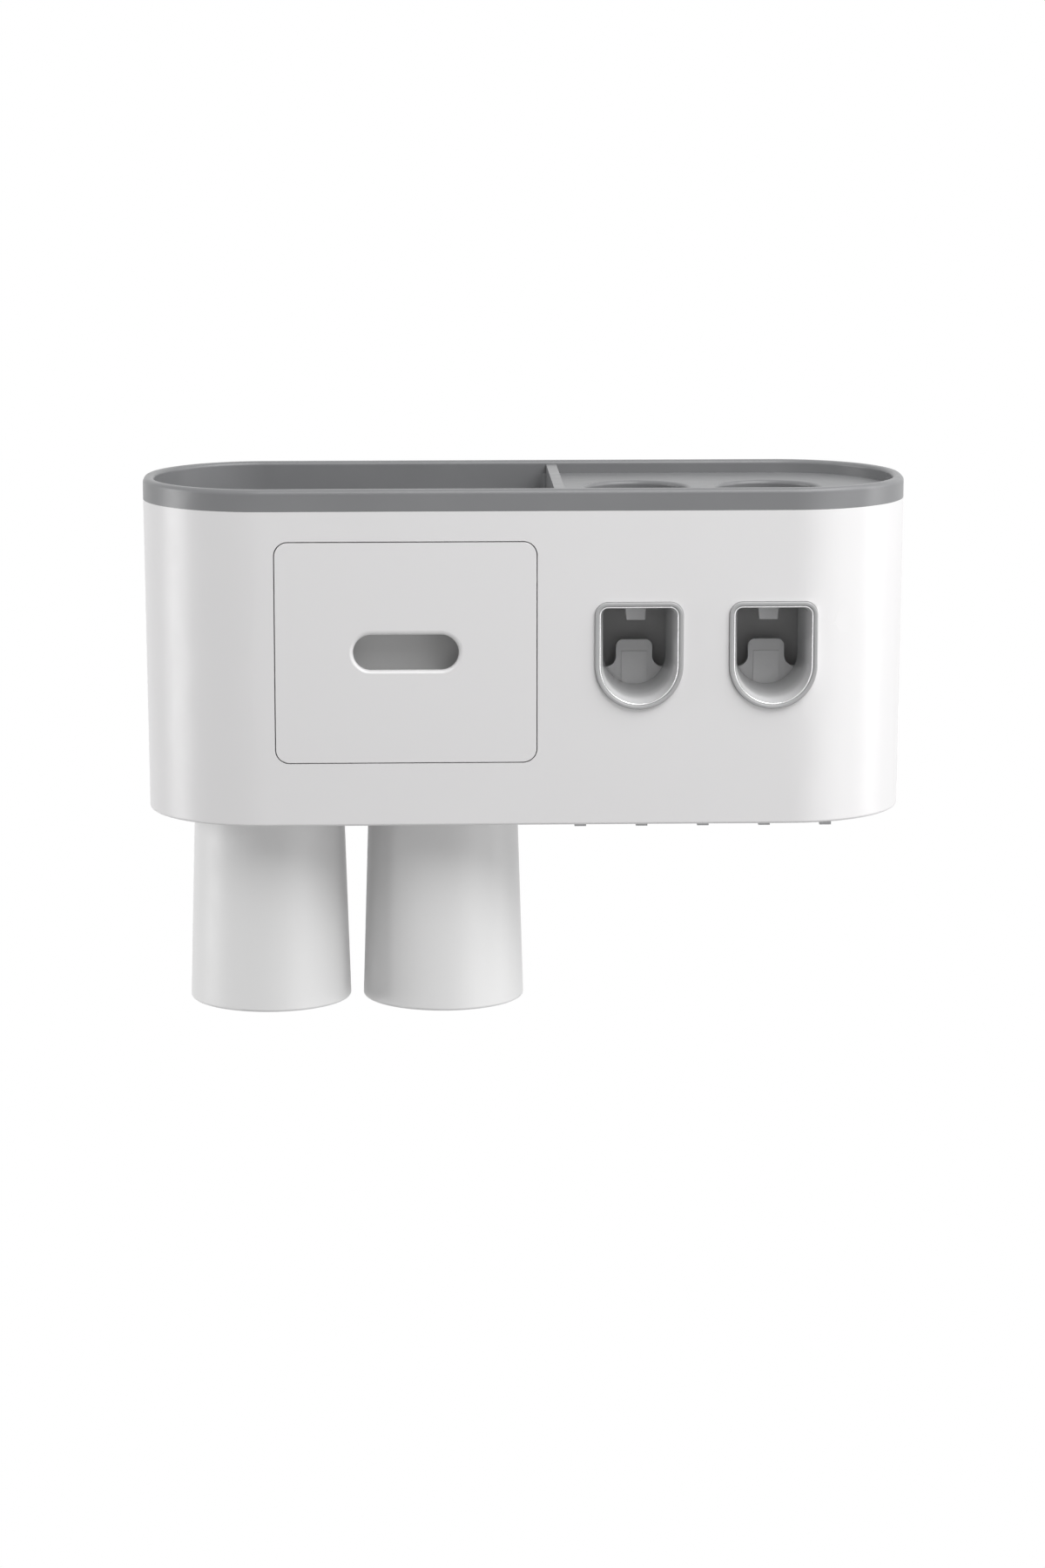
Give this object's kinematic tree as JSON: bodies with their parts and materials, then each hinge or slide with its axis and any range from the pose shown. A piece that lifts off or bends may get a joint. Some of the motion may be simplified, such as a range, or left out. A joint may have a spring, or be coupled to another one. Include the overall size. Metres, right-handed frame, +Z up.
{
  "type": "toothbrush holder with toothpaste dispenser",
  "caption": "Wall-hung toothbrush holder with push toothpaste dispensers, a drawer, a grey lift-off top tray, slots for brushes and magnetic cups hanging rim down.",
  "frame": {"origin": "centre of the adhesive's back face, on the wall, at the middle of the housing's width and height", "axes": "+Z up, +Y into the wall, +X to the right as seen from the front"},
  "size_m": [0.29, 0.103, 0.203],
  "materials": {
    "white_shell": "satin moulded ABS, fine grain",
    "white_gloss": "smooth moulded cup plastic",
    "inner_white": "plain moulded ABS",
    "tray_grey": "satin moulded ABS, mid grey",
    "light_grey": "moulded ABS, light grey",
    "bezel_grey": "polished grey plastic",
    "lever_grey": "satin grey acetal",
    "dark_grey": "moulded ABS, dull grey",
    "silicone": "translucent white silicone",
    "screw_steel": "zinc-plated steel",
    "magnet": "nickel-plated magnet",
    "foam": "double-sided foam adhesive"
  },
  "bodies": {
    "wall_mount": {"wall_plate": "light_grey", "adhesive_sheet": "foam"},
    "housing": {"shell": "white_shell", "base_plate": "white_shell", "base_screws": "screw_steel", "brush_rack": "light_grey", "rack_screws": "screw_steel", "drawer_guide": "light_grey", "dock_magnets": "magnet", "bezel_left": "bezel_grey", "pump_body_left": "dark_grey", "tube_socket_left": "light_grey", "check_valve_left": "silicone", "pump_bulb_left": "silicone", "nozzle_left": "lever_grey", "pusher_pin_left": "screw_steel", "pusher_spring_left": "screw_steel", "pump_screws_left": "screw_steel", "bezel_right": "bezel_grey", "pump_body_right": "dark_grey", "tube_socket_right": "light_grey", "check_valve_right": "silicone", "pump_bulb_right": "silicone", "nozzle_right": "lever_grey", "pusher_pin_right": "screw_steel", "pusher_spring_right": "screw_steel", "pump_screws_right": "screw_steel"},
    "tray": {"tray": "tray_grey"},
    "drawer": {"drawer_front": "white_shell", "drawer_bin": "inner_white"},
    "cup_left": {"cup_left": "white_gloss", "cup_left_disc": "magnet", "cup_left_cap": "tray_grey"},
    "pusher_left": {"pusher_left": "lever_grey"},
    "cup_right": {"cup_right": "white_gloss", "cup_right_disc": "magnet", "cup_right_cap": "tray_grey"},
    "pusher_right": {"pusher_right": "lever_grey"}
  },
  "joints": [
    {"name": "housing_lift", "type": "slide", "parent": "wall_mount", "child": "housing", "axis": [0, 0, 1], "range_m": [0, 0.0085]},
    {"name": "tray_lift", "type": "slide", "parent": "housing", "child": "tray", "axis": [0, 0, 1], "range_m": [0, 0.03]},
    {"name": "drawer_slide", "type": "slide", "parent": "housing", "child": "drawer", "axis": [0, -1, 0], "range_m": [0, 0.06]},
    {"name": "cup_left_pull", "type": "slide", "parent": "housing", "child": "cup_left", "axis": [0, 0, -1], "range_m": [0, 0.03]},
    {"name": "cup_right_pull", "type": "slide", "parent": "housing", "child": "cup_right", "axis": [0, 0, -1], "range_m": [0, 0.03]},
    {"name": "pusher_left_tilt", "type": "hinge", "parent": "housing", "child": "pusher_left", "pos_m": [0.04153, -0.0649, -0.01286], "axis": [-1, 0, 0], "range_deg": [0, 12], "stiffness_Nm_per_rad": 0.25, "springref_deg": -5.73, "deforming": ["pusher_spring_left", "pump_bulb_left"]},
    {"name": "pusher_right_tilt", "type": "hinge", "parent": "housing", "child": "pusher_right", "pos_m": [0.09193, -0.0649, -0.01286], "axis": [-1, 0, 0], "range_deg": [0, 12], "stiffness_Nm_per_rad": 0.25, "springref_deg": -5.73, "deforming": ["pusher_spring_right", "pump_bulb_right"]}
  ]
}
